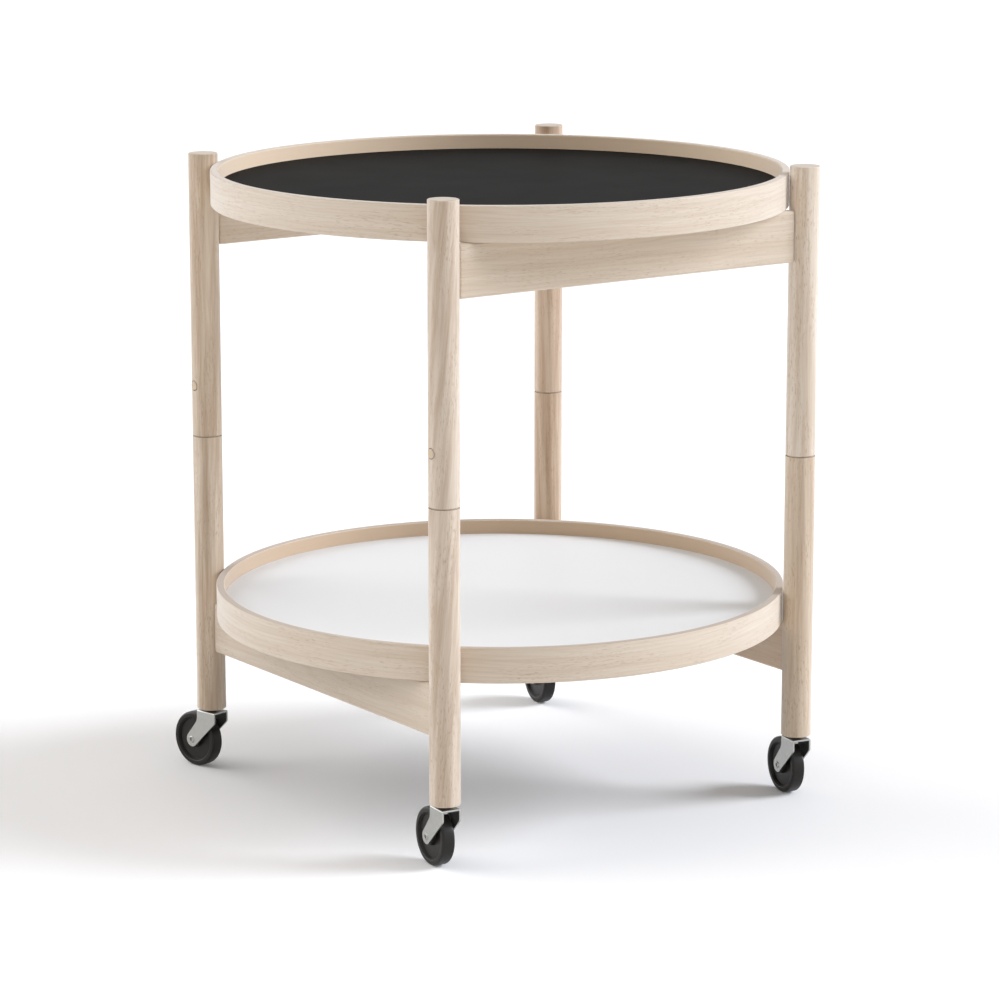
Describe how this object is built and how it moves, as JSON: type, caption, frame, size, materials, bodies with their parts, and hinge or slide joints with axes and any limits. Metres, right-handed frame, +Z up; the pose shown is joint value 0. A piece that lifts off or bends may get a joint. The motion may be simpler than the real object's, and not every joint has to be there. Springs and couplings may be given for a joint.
{
  "type": "serving trolley",
  "caption": "Folding round serving trolley: two lift-out trays with bent wood rims on a frame of split round legs with swivel casters.",
  "frame": {"origin": "on the floor, at the middle of the bottom of the overall box, under the middle of both trays", "axes": "+Z up; the two upper rails run along X and the two lower rails along Y; +Y is the way the casters trail"},
  "size_m": [0.4999, 0.5, 0.5585],
  "materials": {
    "beech": "soaped pale beech, fine dark flecks, matt",
    "black_laminate": "black high-pressure laminate, satin",
    "white_laminate": "white high-pressure laminate, satin",
    "tray_core": "thin birch plywood, raw",
    "fork_steel": "pressed steel sheet, satin nickel plate",
    "bright_steel": "turned steel, bright plate",
    "dark_steel": "turned steel, browned",
    "wheel_plastic": "moulded black nylon"
  },
  "bodies": {
    "lower_left_frame": {"lower_rail_left": "beech", "leg_lower_left": "beech", "leg_spindle_left": "beech", "caster_socket_left": "bright_steel", "caster_stem_left": "bright_steel", "caster_collar_left": "dark_steel", "leg_lower_front": "beech", "leg_spindle_front": "beech", "caster_socket_front": "bright_steel", "caster_stem_front": "bright_steel", "caster_collar_front": "dark_steel"},
    "lower_right_frame": {"lower_rail_right": "beech", "leg_lower_right": "beech", "leg_spindle_right": "beech", "caster_socket_right": "bright_steel", "caster_stem_right": "bright_steel", "caster_collar_right": "dark_steel", "leg_lower_back": "beech", "leg_spindle_back": "beech", "caster_socket_back": "bright_steel", "caster_stem_back": "bright_steel", "caster_collar_back": "dark_steel"},
    "upper_front_frame": {"upper_rail_front": "beech", "leg_upper_front": "beech", "leg_dowel_front": "beech", "leg_upper_right": "beech", "leg_dowel_right": "beech"},
    "upper_back_frame": {"upper_rail_back": "beech", "leg_upper_left": "beech", "leg_dowel_left": "beech", "leg_upper_back": "beech", "leg_dowel_back": "beech"},
    "upper_tray": {"upper_tray_rim": "beech", "upper_tray_core": "tray_core", "upper_tray_black_laminate": "black_laminate", "upper_tray_white_laminate": "white_laminate"},
    "lower_tray": {"lower_tray_rim": "beech", "lower_tray_core": "tray_core", "lower_tray_black_laminate": "black_laminate", "lower_tray_white_laminate": "white_laminate"},
    "caster_front": {"caster_fork_front": "fork_steel", "caster_axle_front": "bright_steel", "caster_bush_front": "bright_steel"},
    "wheel_front": {"caster_wheel_front": "wheel_plastic"},
    "caster_right": {"caster_fork_right": "fork_steel", "caster_axle_right": "bright_steel", "caster_bush_right": "bright_steel"},
    "wheel_right": {"caster_wheel_right": "wheel_plastic"},
    "caster_back": {"caster_fork_back": "fork_steel", "caster_axle_back": "bright_steel", "caster_bush_back": "bright_steel"},
    "wheel_back": {"caster_wheel_back": "wheel_plastic"},
    "caster_left": {"caster_fork_left": "fork_steel", "caster_axle_left": "bright_steel", "caster_bush_left": "bright_steel"},
    "wheel_left": {"caster_wheel_left": "wheel_plastic"}
  },
  "joints": [
    {"name": "fold_front_leg", "type": "hinge", "parent": "lower_left_frame", "child": "upper_front_frame", "pos_m": [-0.18668, -0.18668, 0.308], "axis": [0, 0, 1], "range_deg": [-0.15, 0.15]},
    {"name": "fold_right_leg", "type": "hinge", "parent": "upper_front_frame", "child": "lower_right_frame", "pos_m": [0.18668, -0.18668, 0.308], "axis": [0, 0, 1], "range_deg": [-0.15, 0.15]},
    {"name": "fold_left_leg", "type": "hinge", "parent": "lower_left_frame", "child": "upper_back_frame", "pos_m": [-0.18668, 0.18668, 0.308], "axis": [0, 0, 1], "range_deg": [-0.15, 0.15]},
    {"name": "upper_tray_lift", "type": "slide", "parent": "upper_front_frame", "child": "upper_tray", "axis": [0, 0, 1], "range_m": [0, 0.1]},
    {"name": "lower_tray_lift", "type": "slide", "parent": "lower_left_frame", "child": "lower_tray", "axis": [0, 0, 1], "range_m": [0, 0.28]},
    {"name": "caster_swivel_front", "type": "hinge", "parent": "lower_left_frame", "child": "caster_front", "pos_m": [-0.18668, -0.18668, 0.054], "axis": [0, 0, 1], "continuous": true},
    {"name": "wheel_spin_front", "type": "hinge", "parent": "caster_front", "child": "wheel_front", "pos_m": [-0.18479, -0.16928, 0.025], "axis": [0.9942, -0.108, 0], "continuous": true},
    {"name": "caster_swivel_right", "type": "hinge", "parent": "lower_right_frame", "child": "caster_right", "pos_m": [0.18668, -0.18668, 0.054], "axis": [0, 0, 1], "continuous": true},
    {"name": "wheel_spin_right", "type": "hinge", "parent": "caster_right", "child": "wheel_right", "pos_m": [0.19004, -0.1695, 0.025], "axis": [0.9813, -0.1925, 0], "continuous": true},
    {"name": "caster_swivel_back", "type": "hinge", "parent": "lower_right_frame", "child": "caster_back", "pos_m": [0.18668, 0.18668, 0.054], "axis": [0, 0, 1], "continuous": true},
    {"name": "wheel_spin_back", "type": "hinge", "parent": "caster_back", "child": "wheel_back", "pos_m": [0.18996, 0.20387, 0.025], "axis": [0.9823, -0.1874, 0], "continuous": true},
    {"name": "caster_swivel_left", "type": "hinge", "parent": "lower_left_frame", "child": "caster_left", "pos_m": [-0.18668, 0.18668, 0.054], "axis": [0, 0, 1], "continuous": true},
    {"name": "wheel_spin_left", "type": "hinge", "parent": "caster_left", "child": "wheel_left", "pos_m": [-0.19088, 0.20366, 0.025], "axis": [0.9707, 0.2402, 0], "continuous": true}
  ],
  "couplings": [
    {"joint": "fold_right_leg", "follows": "fold_front_leg", "ratio": -1},
    {"joint": "fold_left_leg", "follows": "fold_front_leg", "ratio": 1}
  ]
}
